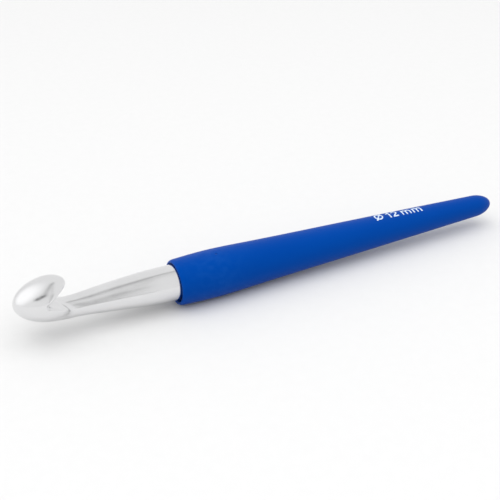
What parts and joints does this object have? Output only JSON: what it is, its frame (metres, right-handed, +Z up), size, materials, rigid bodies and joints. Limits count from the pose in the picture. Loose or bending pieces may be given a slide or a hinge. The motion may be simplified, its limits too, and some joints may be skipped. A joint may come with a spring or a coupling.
{
  "type": "crochet hook",
  "caption": "Crochet hook with an egg-shaped polished aluminium head, an undercut mouth, a tapering shank and a soft blue grip that tapers to a domed tail.",
  "frame": {"origin": "bottom centre of the bounding box, straight below the handle's axis and on the surface that the grip's bulge touches; the handle's axis is 6.7 mm above it", "axes": "+X along the handle from the hook's nose to the tail, +Z up, the way the mouth opens, +Y across"},
  "size_m": [0.15, 0.0134, 0.0178],
  "materials": {
    "polished_aluminium": "polished, faint drawing lines",
    "core_plastic": "moulded, dark navy",
    "soft_grip": "satin soft touch",
    "mark_ink": "thin pad print"
  },
  "bodies": {
    "root": {"hook": "polished_aluminium", "handle_core": "core_plastic", "grip_sleeve": "soft_grip", "size_mark": "mark_ink"}
  },
  "joints": []
}
